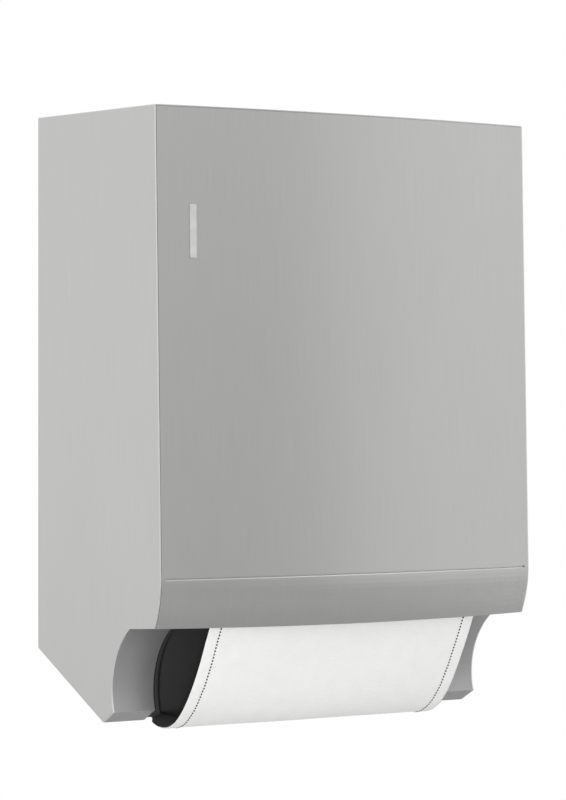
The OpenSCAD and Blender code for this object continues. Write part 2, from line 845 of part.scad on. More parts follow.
// End rim of the tray: level with the cheek beside it, then falling to the tray's face in a smooth curve
module tray_rim() {
    rim_r = recess_r + rim_back;
    fall = tray_r + rim_sink - rim_r;
    intersection() {
        translate([tray_half, recess_c[0], recess_c[1]]) rotate([0, -90, 0]) rotate_extrude()
            polygon(concat(
                [[tray_r + guide_wall / 2, 0], [rim_r, 0]],
                [for (i = [0:rim_steps]) [
                    rim_r + fall * (1 - cos(180 * i / rim_steps)) / 2,
                    rim_flat + (rim_w - rim_flat) * i / rim_steps]],
                [[tray_r + guide_wall / 2, rim_w]]
            ));
        along_x(0, tray_half) tray_sector();
    }
}

// Rolled lower edge of the tray, with its lower corners rounded
module tray_edge() {
    half = tray_half - edge_short;
    foot = tray_nose[1] - tray_nose_r;
    intersection() {
        rod(tray_nose, tray_nose_r, -half, half);
        rotate([90, 0, 0]) linear_extrude(beyond) union() {
            translate([-half, foot + edge_round]) square([2 * half, edge_round]);
            translate([edge_round - half, foot - 1]) square([2 * (half - edge_round), 2 * edge_round]);
            for (side = [-1, 1]) translate([side * (half - edge_round), foot + edge_round])
                circle(r = edge_round);
        }
    }
}

module towel_tray() {
    color(near_black) union() {
        along_x(-tray_half, tray_half) intersection() {
            difference() {
                translate(recess_c) circle(r = tray_r + guide_wall);
                translate(recess_c) circle(r = tray_r);
            }
            tray_sector();
        }
        tray_edge();
        for (side = [0, 1]) mirror([side, 0, 0]) union() {
            tray_rim();
            rod(tray_nose + [0, edge_tip_r], edge_tip_r, tray_half - edge_round, tray_half);
        }
    }
}

module exit_bar() {
    end_r = exit_bar_r - 2;
    color(near_black) union() {
        rod(exit_bar, exit_bar_r, -frame_x + snug_fit, frame_x - snug_fit);
        rod(exit_bar, end_r, -frame_out, frame_out);
    }
}

module pressure_pivot() {
    color(bright) rod(pivot, rod_r, -frame_out, frame_out);
}

// A flanged bush in each frame
module bush_pair(place) {
    for (side = [0, 1]) mirror([side, 0, 0]) difference() {
        union() {
            rod(place, bush_r, frame_x - 0.1, frame_out);
            rod(place, bush_r + bush_flange, frame_x - bush_flange_t, frame_x);
        }
        rod(place, shaft_r + run_fit, 0, cabinet_w);
    }
}
module drum_bushes() { color(near_black) bush_pair(drum); }
module takeup_bushes() { color(near_black) bush_pair(takeup); }

module one_way_clutch() {
    lug = 26;
    color(zinc) difference() {
        union() {
            rod(drum, clutch_r, -frame_out - clutch_len, -frame_out);
            translate([-frame_out - 3, drum[0], drum[1] - 5]) cube([3, lug, 10]);
        }
        rod(drum, shaft_r + run_fit, -cabinet_w, 0);
    }
}

module idler_stud() {
    head_r = rod_r + 2.5;
    head_t = 2;
    color(bright) union() {
        rod(idler, rod_r, frame_x, gear_x + gear_w + pass_gap);
        rod(idler, head_r, gear_x + gear_w + pass_gap, gear_x + gear_w + pass_gap + head_t);
    }
}

module level_stud() {
    head_r = rod_r + 2.5;
    head_t = 2;
    reach = level_x + level_t + pass_gap;
    color(bright) union() {
        rod(level_pivot, rod_r, -reach, -frame_x);
        rod(level_pivot, head_r, -reach - head_t, -reach);
    }
}

module hinge_brackets() {
    base_w = ear_x + ear_t - frame_out - bracket_gap;
    base_t = 3;
    base_top = 3 * ear_r;
    color(zinc) for (side = [0, 1]) mirror([side, 0, 0]) difference() {
        union() {
            rod(hinge, ear_r, ear_x, ear_x + ear_t);
            translate([ear_x, hinge[0], plate_foot])
                cube([ear_t, hinge_y - plate_t, hinge[1] + ear_r - plate_foot]);
            translate([ear_x + ear_t - base_w, -plate_t - base_t, plate_foot])
                cube([base_w, base_t, base_top]);
        }
        rod(hinge, hinge_r + snug_fit, 0, cabinet_w);
    }
}

module hinge_pins() {
    color(bright) for (side = [0, 1]) mirror([side, 0, 0]) union() {
        rod(hinge, hinge_r, ear_x - pin_head_t, boss_x + hinge_boss_len - 2);
        rod(hinge, pin_head_r, ear_x - pin_head_t, ear_x);
    }
}

module lock_keeper() {
    arm_z = cam_z - keeper_drop;
    tab_y = lock_y + cam_w / 2 + keeper_gap;
    color(zinc) translate([keeper_x, 0, 0]) union() {
        translate([0, -plate_t - keeper_t, arm_z - keeper_foot])
            cube([keeper_w, keeper_t, keeper_foot + keeper_t]);
        translate([0, -tab_y - keeper_t, arm_z]) cube([keeper_w, tab_y + keeper_t - plate_t, keeper_t]);
        translate([0, -tab_y - keeper_t, arm_z]) cube([keeper_w, keeper_t, keeper_drop + cam_t + 2]);
    }
}

module hood_bumpers() {
    tall = top_h - sheet_t - plate_top - cloth_gap;
    color(rubber_black) for (side = [-1, 1])
        translate([side * (plate_half - bumper_in), -plate_t - flange_d / 2, plate_top])
            cylinder(r = bumper_r, h = tall);
}

module frame_screws() {
    color(bright) at_screws() union() {
        translate([0, 0, -plate_t]) cylinder(r = screw_r, h = plate_t + foot_t + 0.5);
        translate([0, 0, foot_t]) cylinder(r = screw_head_r, h = screw_head_t);
    }
}

module web(path, from, to) {
    color(cloth_white) along_x(-towel_w / 2, towel_w / 2) polygon(ribbon(path, from, to));
}
module towel_feed() { web(feed_path, feed_deg, loop_from_deg); }
module towel_loop() { web(loop_path, loop_from_deg, loop_to_deg); }
module towel_return() { web(return_path, loop_to_deg, back_deg); }

module drum_shaft() {
    color(bright) rod(drum, shaft_r, -frame_out - clutch_len - 4, gear_x + gear_w + 5);
}

module drum_core() {
    half = towel_w / 2;
    wall = 3;
    web_t = 4;
    body_r = drum_r - sleeve_t;
    color(light_grey) difference() {
        rod(drum, body_r, -half, half);
        for (side = [0, 1]) mirror([side, 0, 0]) difference() {
            rod(drum, body_r - wall, web_t, half - web_t);
            rod(drum, shaft_r + wall, 0, half);
        }
        rod(drum, shaft_r + snug_fit, -half - 1, half + 1);
    }
}

// Rubber sleeve with shallow grip grooves round it
module drum_sleeve() {
    half = towel_w / 2 - 3;
    body_r = drum_r - sleeve_t;
    groove_count = 24;
    groove_w = 2;
    groove_d = 0.8;
    pitch = 2 * half / (groove_count + 1);
    color(rubber_black) difference() {
        rod(drum, drum_r, -half, half);
        rod(drum, body_r + snug_fit, -half - 1, half + 1);
        for (i = [1:groove_count]) difference() {
            rod(drum, drum_r + 1, -half + i * pitch - groove_w / 2, -half + i * pitch + groove_w / 2);
            rod(drum, drum_r - groove_d, -cabinet_w, cabinet_w);
        }
    }
}

// A spur gear along X at a place, turned to its mesh, with a bore and round openings in its web
module gear(place, teeth, turn, bore, openings) {
    pitch_r = gear_module * teeth / 2;
    opening_r = (pitch_r - 2 * gear_module - bore) / 4;
    ring_r = (pitch_r - 2 * gear_module + bore) / 2 + 0.5;
    difference() {
        along_x(gear_x, gear_x + gear_w)
            translate(place) rotate(turn) polygon(gear_outline(teeth));
        rod(place, bore, gear_x - 1, gear_x + gear_w + 1);
        for (k = [1:openings])
            rod(place + polar(ring_r, 360 * k / openings), opening_r, gear_x - 1, gear_x + gear_w + 1);
    }
}
module drum_gear() { color(gear_white) gear(drum, drum_teeth, 0, shaft_r + snug_fit, 5); }
module idler_gear() { color(gear_white) gear(idler, idler_teeth, idler_turn, rod_r + run_fit, 5); }
module takeup_gear() { color(gear_white) gear(takeup, takeup_teeth, takeup_turn, shaft_r + run_fit, 0); }

module drum_clip() {
    clip_r = shaft_r + 3;
    clip_t = 1.5;
    color(zinc) difference() {
        rod(drum, clip_r, gear_x + gear_w + 0.2, gear_x + gear_w + 0.2 + clip_t);
        rod(drum, shaft_r + snug_fit, 0, cabinet_w);
    }
}

module pressure_arm() {
    color(satin_grey) difference() {
        hull() {
            rod(pivot, arm_r, arm_x, arm_x + arm_t, $fn = 32);
            rod(press, arm_r, arm_x, arm_x + arm_t, $fn = 32);
        }
        rod(pivot, rod_r + run_fit, 0, cabinet_w);
        rod(press, rod_r + snug_fit, 0, cabinet_w);
    }
}
module pressure_arm_right() { pressure_arm(); }
module pressure_arm_left() { mirror([1, 0, 0]) pressure_arm(); }

module pressure_shaft() {
    color(bright) rod(press, rod_r, -arm_x - arm_t, arm_x + arm_t);
}

module pressure_spring() {
    color(zinc) polyhedron(points = spring_points, faces = spring_faces);
}
module pressure_spring_right() { pressure_spring(); }
module pressure_spring_left() { mirror([1, 0, 0]) pressure_spring(); }

module pressure_roller() {
    color(light_grey) difference() {
        rod(press, press_core_r, -press_half, press_half);
        rod(press, rod_r + run_fit, -cabinet_w, cabinet_w);
    }
}
module pressure_sleeve() {
    color(rubber_black) difference() {
        rod(press, press_r, -press_half + 1, press_half - 1);
        rod(press, press_core_r + snug_fit, -cabinet_w, cabinet_w);
    }
}

// Take-up spindle: a slotted bar with a journal at each end
module takeup_spindle() {
    slot_w = 2.4;
    half = towel_w / 2 + 2;
    color(bright) difference() {
        union() {
            rod(takeup, spindle_r, -half, half);
            rod(takeup, shaft_r, -frame_out - 2, collar_x + felt_t + collar_t + 2);
        }
        translate([-towel_w / 2, takeup[0] - slot_w / 2, takeup[1] - 2 * spindle_r])
            cube([towel_w, slot_w, 4 * spindle_r]);
    }
}
module clutch_felt() {
    color(near_black) difference() {
        rod(takeup, takeup_pitch_r - 1, collar_x, collar_x + felt_t);
        rod(takeup, shaft_r + snug_fit, 0, cabinet_w);
    }
}
module clutch_collar() {
    color(zinc) difference() {
        rod(takeup, takeup_pitch_r - 1, collar_x + felt_t, collar_x + felt_t + collar_t);
        rod(takeup, shaft_r + snug_fit, 0, cabinet_w);
    }
}

// A roll of towel round a bar or tube
module towel_roll(place, outer, inner) {
    color(cloth_white) difference() {
        rod(place, outer, -towel_w / 2, towel_w / 2);
        rod(place, inner, -cabinet_w, cabinet_w);
    }
}
module soiled_roll() { towel_roll(takeup, soiled_r, spindle_r + snug_fit); }
module clean_roll() { towel_roll(clean, clean_r, core_r + snug_fit); }

module clean_core() {
    color(satin_grey) difference() {
        rod(clean, core_r, -towel_w / 2, towel_w / 2);
        rod(clean, core_r - core_wall, -cabinet_w, cabinet_w);
    }
}

// Plugs in both ends of the core, with a gudgeon that seats in the frame's slot
module core_plugs() {
    plug_len = 16;
    flange = 3;
    flange_t = 2.5;
    color(near_black) for (side = [0, 1]) mirror([side, 0, 0]) union() {
        rod(clean, core_r - core_wall - snug_fit, towel_w / 2 - plug_len, towel_w / 2 + flange_t);
        rod(clean, core_r + flange, towel_w / 2 + snug_fit, towel_w / 2 + flange_t);
        rod(clean, gudgeon_r, towel_w / 2, frame_out + seat_proud);
    }
}

// Arm that lies on the clean roll and carries the flag behind the level window
module level_arm() {
    x0 = -level_x - level_t;
    x1 = -level_x;
    color(near_black) difference() {
        union() {
            hull() {
                rod(level_pivot, level_hub_r, x0, x1, $fn = 32);
                rod(finger, finger_hub_r, x0, x1, $fn = 32);
            }
            hull() {
                rod(finger, finger_hub_r, x0, x1, $fn = 32);
                translate([x0, flag_y + flag_t, window_z]) cube([level_t, pad_d, pad_h]);
            }
            rod(finger, finger_r, x0, -towel_w / 2 + finger_reach);
        }
        rod(level_pivot, rod_r + run_fit, -cabinet_w, 0);
    }
}
module level_flag() {
    flag_end = -window_mid - window_w / 2 - snug_fit;
    flag_h = window_h + 2 * flag_over;
    color(cloth_white) translate([flag_end, flag_y, window_z - flag_h / 2])
        cube([-level_x - flag_end, flag_t, flag_h]);
}

hood_front();
hood_top();
hood_side_left();
hood_side_right();
cheek_left();
cheek_right();
hinge_boss_left();
hinge_boss_right();
level_window();
lock_body();
lock_nut();
lock_plug();
lock_cam();
cam_screw();
wall_plate();
side_frame_left();
side_frame_right();
roll_partition();
lower_panel();
towel_tray();
exit_bar();
pressure_pivot();
drum_bushes();
takeup_bushes();
one_way_clutch();
idler_stud();
level_stud();
hinge_brackets();
hinge_pins();
lock_keeper();
hood_bumpers();
frame_screws();
towel_feed();
towel_loop();
towel_return();
drum_shaft();
drum_core();
drum_sleeve();
drum_gear();
drum_clip();
pressure_arm_left();
pressure_arm_right();
pressure_shaft();
pressure_spring_left();
pressure_spring_right();
pressure_roller();
pressure_sleeve();
idler_gear();
takeup_gear();
takeup_spindle();
soiled_roll();
clutch_felt();
clutch_collar();
clean_core();
core_plugs();
clean_roll();
level_arm();
level_flag();
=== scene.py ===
"""Looks for the wall-mounted cloth towel dispenser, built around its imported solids.

Metres, in the part's own frame: +Z up, the front faces -Y, and Y = 0 is the wall.
"""

import json
import math
import random

import bmesh
import bpy
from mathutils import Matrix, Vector


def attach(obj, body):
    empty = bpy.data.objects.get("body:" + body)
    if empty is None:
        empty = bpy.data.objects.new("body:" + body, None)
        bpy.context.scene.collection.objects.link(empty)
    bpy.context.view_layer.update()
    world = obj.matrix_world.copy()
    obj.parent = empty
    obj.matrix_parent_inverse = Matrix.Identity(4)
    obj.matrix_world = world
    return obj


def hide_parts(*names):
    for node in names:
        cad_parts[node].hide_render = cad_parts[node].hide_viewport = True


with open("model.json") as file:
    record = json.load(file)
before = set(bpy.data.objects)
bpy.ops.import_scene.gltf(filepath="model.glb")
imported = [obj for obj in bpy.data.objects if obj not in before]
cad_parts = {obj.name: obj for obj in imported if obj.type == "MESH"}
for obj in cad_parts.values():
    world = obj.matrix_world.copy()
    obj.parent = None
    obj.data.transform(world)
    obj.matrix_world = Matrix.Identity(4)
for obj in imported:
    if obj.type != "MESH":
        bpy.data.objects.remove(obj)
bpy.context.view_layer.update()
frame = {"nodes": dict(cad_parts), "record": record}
nodes = frame["nodes"]
scene = bpy.context.scene
scene.view_settings.view_transform = "Standard"

MM = 0.001

# Towel path, as in the part's source: rollers in (y, z), and the cloth's middle outside each of them
TOWEL_W = 290 * MM
CLOTH_T = 0.9 * MM
CLOTH_OFF = 0.9 * MM
CLEAN_R = 66 * MM
CORE_R = 20 * MM
USED_R = 34 * MM
SPINDLE_R = 7 * MM
CLEAN = (-96 * MM, 127.908 * MM)
PRESS = (-178.8 * MM, -100 * MM)
PRESS_R = 11 * MM
EXIT_BAR = (-180.7 * MM, -184 * MM)
EXIT_R = 5 * MM
TRAY_NOSE = (-107.964 * MM, -270.03 * MM)
NOSE_R = 6 * MM
TAKEUP = (-76.014 * MM, -14.092 * MM)
LOOP_FROM_DEG = -64.5
LOOP_TO_DEG = 24.0
LOOP_FROM_PULL = 46 * MM
LOOP_TO_PULL = 41.6 * MM
LOOP_STEPS = 60
LAP_DEG = 60
PATH_STEP = 2.2 * MM

# Hem and stitching
HEM_W = 10.6 * MM
HEM_RISE = 0.22 * MM
HEM_EDGE = 1.2 * MM
HEM_END = 1.6 * MM
STITCH_IN = 11.8 * MM
STITCH_PITCH = 3.0 * MM
STITCH_LEN = 1.9 * MM
STITCH_R = 0.85 * MM
STITCH_FLAT = 0.5
STITCH_ARCH = 0.4
STITCH_SIDES = 5
STITCH_RINGS = ((0.12, 0.75), (0.5, 1.0), (0.88, 0.75))
DIMPLE = 0.12 * MM
DIMPLE_W = 0.9 * MM

# Unevenness of the hanging cloth: heights in mm, lengths in metres
WAVE_RISE = 0.55
COCKLE_RISE = 0.3
COCKLE_LEN = 23 * MM
COCKLE_W = 9 * MM
LOOSE_RUN = 30 * MM


# Object and node helpers


def link_object(name, mesh):
    obj = bpy.data.objects.new(name, mesh)
    scene.collection.objects.link(obj)
    return obj


def finish_mesh(name, mesh, material):
    """Turns a bmesh into an object of the scene, with one material."""
    data = bpy.data.meshes.new(name)
    mesh.to_mesh(data)
    mesh.free()
    data.materials.append(material)
    return link_object(name, data)


def new_material(name):
    """A material with its Principled shader, and a function that adds nodes to it."""
    mat = bpy.data.materials.new(name)
    mat.use_nodes = True
    tree = mat.node_tree
    shader = tree.nodes["Principled BSDF"]

    def add(kind, **values):
        node = tree.nodes.new(kind)
        for key, value in values.items():
            if key in node.inputs:
                node.inputs[key].default_value = value
            else:
                setattr(node, key, value)
        return node

    return mat, tree, shader, add


def coordinates(tree, add, scale, kind="Object"):
    """Object or UV coordinates in metres, stretched by a scale for each axis."""
    coord = add("ShaderNodeTexCoord")
    mapping = add("ShaderNodeMapping", Scale=scale)
    tree.links.new(coord.outputs[kind], mapping.inputs["Vector"])
    return mapping.outputs["Vector"]


def noise(tree, add, vector, scale, detail=3.0, rough=0.5):
    node = add("ShaderNodeTexNoise", Scale=scale, Detail=detail, Roughness=rough)
    tree.links.new(vector, node.inputs["Vector"])
    return node.outputs["Fac"]


def spread(tree, add, value, low, high, from_low=0.3, from_high=0.7):
    """Maps a value, such as a noise, to the range from low to high."""
    node = add("ShaderNodeMapRange")
    node.inputs["From Min"].default_value = from_low
    node.inputs["From Max"].default_value = from_high
    node.inputs["To Min"].default_value = low
    node.inputs["To Max"].default_value = high
    tree.links.new(value, node.inputs["Value"])
    return node.outputs["Result"]


def tint(tree, add, value, dark, light):
    """Mixes two colours by a value from 0 to 1."""
    node = add("ShaderNodeMix", data_type="RGBA")
    node.inputs[6].default_value = (*dark, 1)
    node.inputs[7].default_value = (*light, 1)
    tree.links.new(value, node.inputs[0])
    return node.outputs[2]


def bump(tree, add, height, strength, distance, shader):
    node = add("ShaderNodeBump", Strength=strength, Distance=distance)
    tree.links.new(height, node.inputs["Height"])
    tree.links.new(node.outputs["Normal"], shader.inputs["Normal"])


# Materials


def brushed_steel(name, colour, rough, grain, streak=0.025):
    """Brushed sheet: fine streaks along one axis, with faint broad clouding in its gloss."""
    mat, tree, shader, add = new_material(name)
    shader.inputs["Metallic"].default_value = 1.0
    fine = noise(tree, add, coordinates(tree, add, grain), 1.0, 4.0, 0.6)
    broad = noise(tree, add, coordinates(tree, add, (9, 9, 5)), 1.0, 2.0, 0.5)
    dark = tuple(c * (1 - streak) for c in colour)
    light = tuple(min(1, c * (1 + streak)) for c in colour)
    shade = spread(tree, add, fine, 0, 1)
    tree.links.new(tint(tree, add, shade, dark, light), shader.inputs["Base Color"])
    tree.links.new(spread(tree, add, broad, rough - 0.02, rough + 0.02), shader.inputs["Roughness"])
    return mat


def moulded(name, colour, rough, grain_scale=900, grain=0.12, metallic=0.0, specular=0.5):
    """Moulded plastic or paint: fine spark texture, faint flow clouding in colour and gloss."""
    mat, tree, shader, add = new_material(name)
    shader.inputs["Metallic"].default_value = metallic
    shader.inputs["Specular IOR Level"].default_value = specular
    fine = noise(tree, add, coordinates(tree, add, (1, 1, 1)), grain_scale, 2.0, 0.5)
    broad = noise(tree, add, coordinates(tree, add, (1, 1, 1)), 22, 3.0, 0.5)
    dark = tuple(c * 0.94 for c in colour)
    light = tuple(min(1, c * 1.05) for c in colour)
    tree.links.new(
        tint(tree, add, spread(tree, add, broad, 0, 1), dark, light), shader.inputs["Base Color"]
    )
    tree.links.new(spread(tree, add, broad, rough - 0.03, rough + 0.03), shader.inputs["Roughness"])
    bump(tree, add, fine, grain, 0.00004, shader)
    return mat


def plated(name, colour, rough, spangle):
    """Zinc or nickel plate: soft crystal spangle, or none where spangle is 0."""
    mat, tree, shader, add = new_material(name)
    shader.inputs["Metallic"].default_value = 1.0
    cells = add("ShaderNodeTexVoronoi", Scale=70.0)
    tree.links.new(coordinates(tree, add, (1, 1, 1)), cells.inputs["Vector"])
    split = add("ShaderNodeSeparateColor")
    tree.links.new(cells.outputs["Color"], split.inputs["Color"])
    dark = tuple(c * (1 - spangle) for c in colour)
    light = tuple(min(1, c * (1 + spangle)) for c in colour)
    tree.links.new(tint(tree, add, split.outputs[0], dark, light), shader.inputs["Base Color"])
    haze = noise(tree, add, coordinates(tree, add, (1, 1, 1)), 140, 3.0, 0.6)
    tree.links.new(spread(tree, add, haze, rough - 0.05, rough + 0.06), shader.inputs["Roughness"])
    bump(tree, add, haze, 0.05, 0.00005, shader)
    return mat


def turned_steel(name, colour, rough):
    """Ground bar: fine rings round the X axis."""
    mat, tree, shader, add = new_material(name)
    shader.inputs["Metallic"].default_value = 1.0
    rings = noise(tree, add, coordinates(tree, add, (2600, 14, 14)), 1.0, 2.0, 0.5)
    dark = tuple(c * 0.93 for c in colour)
    tree.links.new(
        tint(tree, add, spread(tree, add, rings, 0, 1), dark, colour), shader.inputs["Base Color"]
    )
    tree.links.new(spread(tree, add, rings, rough - 0.05, rough + 0.06), shader.inputs["Roughness"])
    bump(tree, add, rings, 0.08, 0.00002, shader)
    return mat


def cotton(name, colour, shade, kind="UV"):
    """Plain weave: warp and weft threads with slubs, soft sheen."""
    mat, tree, shader, add = new_material(name)
    shader.inputs["Roughness"].default_value = 0.9
    shader.inputs["Specular IOR Level"].default_value = 0.15
    shader.inputs["Sheen Weight"].default_value = 0.25
    shader.inputs["Sheen Roughness"].default_value = 0.5
    vector = coordinates(tree, add, (1, 1, 1), kind)
    waves = []
    for axis in ("X", "Y"):
        wave = add("ShaderNodeTexWave", Scale=210.0, Distortion=1.2, bands_direction=axis)
        wave.inputs["Detail"].default_value = 1.0
        wave.inputs["Detail Scale"].default_value = 1.5
        tree.links.new(vector, wave.inputs["Vector"])
        waves.append(wave.outputs["Fac"])
    weave = add("ShaderNodeMath", operation="MULTIPLY")
    tree.links.new(waves[0], weave.inputs[0])
    tree.links.new(waves[1], weave.inputs[1])
    slub = noise(tree, add, coordinates(tree, add, (160, 700, 300), kind), 1.0, 3.0, 0.6)
    broad = noise(tree, add, coordinates(tree, add, (60, 60, 60), kind), 1.0, 3.0, 0.6)
    height = add("ShaderNodeMath", operation="MULTIPLY_ADD")
    height.inputs[1].default_value = 0.8
    tree.links.new(slub, height.inputs[0])
    tree.links.new(weave.outputs[0], height.inputs[2])
    depth = add("ShaderNodeMath", operation="MULTIPLY_ADD")
    depth.inputs[1].default_value = 0.9
    tree.links.new(broad, depth.inputs[0])
    tree.links.new(height.outputs[0], depth.inputs[2])
    # Lighter where the weave and slubs rise, darker where they sink: partly the yarn's uneven tone,
    # partly painted shade between the threads
    tree.links.new(
        tint(tree, add, spread(tree, add, depth.outputs[0], 0, 1, 0.5, 1.6), shade, colour),
        shader.inputs["Base Color"],
    )
    bump(tree, add, height.outputs[0], 0.35, 0.00025, shader)
    return mat


def card_board(name):
    """Card tube: paper fibre along its length."""
    mat, tree, shader, add = new_material(name)
    shader.inputs["Roughness"].default_value = 0.85
    fibre = noise(tree, add, coordinates(tree, add, (300, 900, 900)), 1.0, 4.0, 0.6)
    tree.links.new(
        tint(tree, add, spread(tree, add, fibre, 0, 1), (0.36, 0.29, 0.21), (0.5, 0.41, 0.31)),
        shader.inputs["Base Color"],
    )
    bump(tree, add, fibre, 0.2, 0.0001, shader)
    return mat


def rubber(name):
    """Matt rubber: fine grit, with dust that lightens it in places."""
    mat, tree, shader, add = new_material(name)
    shader.inputs["Specular IOR Level"].default_value = 0.3
    grit = noise(tree, add, coordinates(tree, add, (1, 1, 1)), 1500, 3.0, 0.6)
    dust = noise(tree, add, coordinates(tree, add, (1, 1, 1)), 40, 3.0, 0.6)
    tree.links.new(
        tint(tree, add, spread(tree, add, dust, 0, 1), (0.022, 0.022, 0.023), (0.045, 0.045, 0.046)),
        shader.inputs["Base Color"],
    )
    tree.links.new(spread(tree, add, dust, 0.6, 0.8), shader.inputs["Roughness"])
    bump(tree, add, grit, 0.25, 0.00008, shader)
    return mat


def window_plastic(name):
    """Milky window: lets some light through, with a slightly moulded face."""
    mat, tree, shader, add = new_material(name)
    shader.inputs["Roughness"].default_value = 0.32
    shader.inputs["Transmission Weight"].default_value = 0.06
    shader.inputs["Specular IOR Level"].default_value = 0.4
    ripple = noise(tree, add, coordinates(tree, add, (1, 1, 1)), 120, 2.0, 0.5)
    tree.links.new(
        tint(tree, add, spread(tree, add, ripple, 0, 1), (0.435, 0.439, 0.443), (0.505, 0.505, 0.505)),
        shader.inputs["Base Color"],
    )
    bump(tree, add, ripple, 0.05, 0.0001, shader)
    return mat


STEEL = (0.54, 0.54, 0.536)
STEEL_ROUGH = 0.3
# The cut edges' steel is lighter than the sheet's: a painted highlight along those edges
CUT_STEEL_PAINTED_HIGHLIGHT = (0.78, 0.78, 0.775)
front_steel = brushed_steel("hood_front_steel", STEEL, STEEL_ROUGH, (900, 0, 14))
side_steel = brushed_steel("hood_side_steel", STEEL, STEEL_ROUGH, (0, 900, 14))
top_steel = brushed_steel("hood_top_steel", STEEL, STEEL_ROUGH, (14, 900, 0))
slot_materials = {
    "stainless": side_steel,
    "grey_moulding": moulded("cheek_grey", (0.41, 0.41, 0.413), 0.43, metallic=0.75, grain=0.03),
    "black_moulding": moulded("black_satin", (0.046, 0.046, 0.047), 0.42, grain=0.02, specular=0.22),
    "window_white": window_plastic("window_white"),
    "nickel": plated("nickel", (0.66, 0.65, 0.62), 0.18, 0.0),
    "zinc_plate": plated("zinc", (0.55, 0.56, 0.57), 0.34, 0.07),
    "frame_grey": moulded("frame_grey", (0.55, 0.56, 0.55), 0.5, 1400, 0.2),
    "bright_steel": turned_steel("ground_bar", (0.64, 0.64, 0.65), 0.22),
    "rubber": rubber("rubber"),
    # The second colour of cotton and felt is their darker tone where the weave sinks, partly painted
    # shade between the threads
    "cotton": cotton("cotton", (0.86, 0.86, 0.85), (0.77, 0.77, 0.76)),
    "gear_white": moulded("acetal", (0.74, 0.73, 0.69), 0.38, 1100, 0.08),
    "felt": cotton("felt", (0.07, 0.07, 0.072), (0.045, 0.045, 0.046), "Object"),
    "card": card_board("card"),
}
thread = moulded("thread", (0.02, 0.02, 0.024), 0.8, 4000, 0.3, specular=0.2)
# Ends of the rolled edge: the tray's black plastic, made darker than the tray as painted shade in the
# fold of the towel's loop
edge_black_painted_shade = moulded("edge_black_painted_shade", (0.011, 0.011, 0.0115), 0.5, grain=0.02, specular=0.14)

slot_of = {row["node"]: row["material_slot"] for row in frame["record"]["subparts"]}
for name, obj in nodes.items():
    obj.data.materials.clear()
    obj.data.materials.append(slot_materials[slot_of[name]])
nodes["hood_top"].data.materials[0] = top_steel
nodes["hood_front"].data.materials[0] = front_steel

# The cut edges of the hood's side plates are polished, and their steel is lighter than the plates' as
# a painted highlight along the edges
cut_steel_painted_highlight = brushed_steel("cut_steel_painted_highlight", CUT_STEEL_PAINTED_HIGHLIGHT, 0.2, (900, 900, 900))
for name in ("hood_side_left", "hood_side_right"):
    plate = nodes[name].data
    plate.materials.append(cut_steel_painted_highlight)
    for face in plate.polygons:
        face.material_index = 1 if abs(face.normal.x) < 0.5 else 0


# Edges of the solids: a small round in mm on each sharp edge, so that it catches light

WELD_GAP = 0.01 * MM
SHARP_DEG = 35
EDGE_ROUND = {
    "hood_top": 0.35,
    "hood_side_left": 0.45,
    "hood_side_right": 0.45,
    "cheek_left": 0.9,
    "cheek_right": 0.9,
    "level_window": 0.35,
    "towel_tray": 0.8,
    "wall_plate": 0.5,
    "side_frame_left": 0.5,
    "side_frame_right": 0.5,
    "lower_panel": 0.4,
    "roll_partition": 0.5,
    "lock_body": 0.3,
    "lock_nut": 0.4,
    "lock_plug": 0.25,
    "lock_cam": 0.3,
    "lock_keeper": 0.3,
    "hinge_brackets": 0.4,
    "hinge_pins": 0.5,
    "frame_screws": 0.4,
    "one_way_clutch": 0.6,
    "clutch_collar": 0.5,
    "core_plugs": 0.6,
    "level_arm": 0.4,
    "level_flag": 0.3,
    "pressure_arm_left": 0.3,
    "pressure_arm_right": 0.3,
    "drum_gear": 0.2,
    "idler_gear": 0.2,
    "takeup_gear": 0.2,
    "hood_bumpers": 0.8,
}
for name, size in EDGE_ROUND.items():
    weld = nodes[name].modifiers.new("weld", "WELD")
    weld.merge_threshold = WELD_GAP
    bevel = nodes[name].modifiers.new("edge_round", "BEVEL")
    bevel.width = size * MM
    bevel.segments = 2
    bevel.limit_method = "ANGLE"
    bevel.angle_limit = math.radians(SHARP_DEG)
    # On the side plates the rounds take the cut-edge steel, so they carry its painted highlight as
    # well
    if len(nodes[name].data.materials) > 1:
        bevel.material = 1
    even = nodes[name].modifiers.new("even_shade", "WEIGHTED_NORMAL")
    even.weight = 100
    nodes[name].data.shade_smooth()


# Towel path


def polar(radius, deg):
    return (radius * math.cos(math.radians(deg)), radius * math.sin(math.radians(deg)))


def right_of(deg):
    """Unit vector to the right of a heading in the (y, z) plane."""
    return (math.sin(math.radians(deg)), -math.cos(math.radians(deg)))


def run_deg(a, ra, b, rb):
    """Heading of the straight run from roller a to roller b; radii are negative on the right."""
    dy, dz = b[0] - a[0], b[1] - a[1]
    return math.degrees(math.atan2(dz, dy) + math.asin((ra - rb) / math.hypot(dy, dz)))


def wrap(centre, radius, start, end, step=6):
    """Points round a roller, from one heading to another."""
    count = max(1, math.ceil(abs(end - start) / step))
    made = []
    for i in range(count + 1):
        r = right_of(start + (end - start) * i / count)
        made.append((centre[0] + radius * r[0], centre[1] + radius * r[1]))
    return made


def bezier(a, b, c, d, count):
    made = []
    for i in range(count + 1):
        t = i / count
        s = 1 - t
        made.append(
            tuple(
                s * s * s * a[k] + 3 * s * s * t * b[k] + 3 * s * t * t * c[k] + t * t * t * d[k]
                for k in (0, 1)
            )
        )
    return made


def ahead(point, deg, length):
    """The place a given length from a point, along a heading."""
    step = polar(length, deg)
    return (point[0] + step[0], point[1] + step[1])


